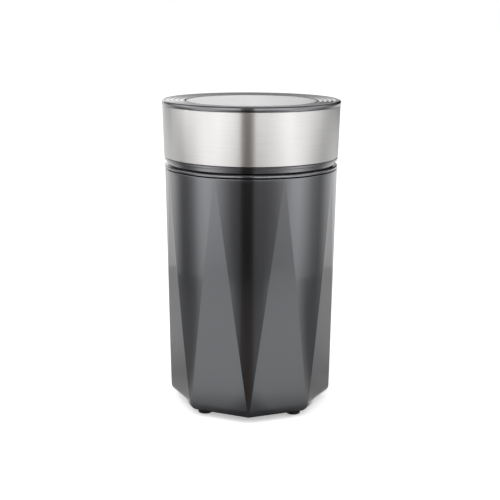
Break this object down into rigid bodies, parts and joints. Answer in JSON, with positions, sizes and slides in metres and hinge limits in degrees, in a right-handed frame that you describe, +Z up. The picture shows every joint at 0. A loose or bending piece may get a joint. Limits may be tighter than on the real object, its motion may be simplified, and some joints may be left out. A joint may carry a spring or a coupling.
{
  "type": "electric coffee grinder",
  "caption": "Upright faceted electric coffee grinder with a press-down steel-banded lid and clear top window over a spinning blade in a steel bowl.",
  "frame": {"origin": "on the table under the middle of the base, level with the soles of the rubber feet", "axes": "+Z up along the motor's axis; the front flat of the body faces -Y and the cord inlet faces +Y"},
  "size_m": [0.09, 0.09, 0.158],
  "materials": {
    "graphite_body": "moulded ABS with satin graphite metallic paint",
    "gloss_graphite": "moulded ABS with gloss graphite lacquer",
    "brushed_band": "stainless sheet brushed round the lid",
    "polished_steel": "polished deep-drawn stainless steel",
    "clear_window": "clear moulded SAN",
    "black_rubber": "matt moulded rubber",
    "silicone": "translucent moulded silicone",
    "black_moulding": "fine-textured black moulding",
    "nylon_moulding": "natural nylon moulding",
    "lamination_steel": "stacked varnished electrical steel",
    "copper": "enamelled copper",
    "bronze": "sintered bronze",
    "die_cast": "die-cast aluminium",
    "plated_steel": "zinc-plated steel",
    "terminal_brass": "stamped brass",
    "carbon": "pressed graphite",
    "capacitor_case": "potted film capacitor case"
  },
  "bodies": {
    "housing": {"housing_shell": "graphite_body", "collar": "gloss_graphite", "grinding_bowl": "polished_steel", "bowl_gasket": "black_rubber", "shaft_seal": "black_rubber", "motor_deck": "black_moulding", "deck_screws": "plated_steel", "stator_core": "lamination_steel", "field_coil_rear": "copper", "field_coil_front": "copper", "upper_bracket": "die_cast", "lower_bracket": "die_cast", "motor_bolts": "plated_steel", "rubber_dampers": "black_rubber", "upper_bearing": "bronze", "lower_bearing": "bronze", "brush_holders": "terminal_brass", "carbon_brushes": "carbon", "brush_springs": "plated_steel", "switch_body": "black_moulding", "switch_terminals": "terminal_brass", "switch_screws": "plated_steel", "return_spring": "plated_steel", "base_plate": "black_moulding", "base_screws": "plated_steel", "rubber_feet": "black_rubber", "cord_gland": "black_rubber", "suppressor": "capacitor_case"},
    "rotor": {"motor_shaft": "plated_steel", "armature_core": "lamination_steel", "armature_winding": "copper", "commutator": "copper", "thrust_washers": "nylon_moulding", "blade_hub": "black_moulding", "blade": "polished_steel", "blade_nut": "black_moulding"},
    "lid": {"lid_body": "gloss_graphite", "lid_band": "brushed_band", "lid_ring": "gloss_graphite", "lid_liner": "clear_window", "lid_seal": "silicone"},
    "plunger": {"press_plunger": "black_moulding"},
    "switch_lever": {"switch_lever": "plated_steel"},
    "switch_button": {"switch_button": "nylon_moulding"}
  },
  "joints": [
    {"name": "blade_spin", "type": "hinge", "parent": "housing", "child": "rotor", "pos_m": [0, 0, 0.0526], "axis": [0, 0, 1], "continuous": true},
    {"name": "lid_press", "type": "slide", "parent": "housing", "child": "plunger", "axis": [0, 0, 1], "range_m": [-0.002, 0], "stiffness_N_per_m": 1300, "springref_m": 0.003, "deforming": ["return_spring"]},
    {"name": "lid_lift", "type": "slide", "parent": "plunger", "child": "lid", "axis": [0, 0, 1], "range_m": [0, 0.07]},
    {"name": "lever_swing", "type": "hinge", "parent": "housing", "child": "switch_lever", "pos_m": [-0.014, 0.03382, 0.0776], "axis": [0, 1, 0], "range_deg": [0, 8.3]},
    {"name": "button_travel", "type": "slide", "parent": "housing", "child": "switch_button", "axis": [0, 0, 1], "range_m": [-0.001, 0]}
  ],
  "couplings": [
    {"joint": "lever_swing", "follows": "lid_press", "rad_per_m": -71.429},
    {"joint": "button_travel", "follows": "lid_press", "ratio": 0.5}
  ]
}
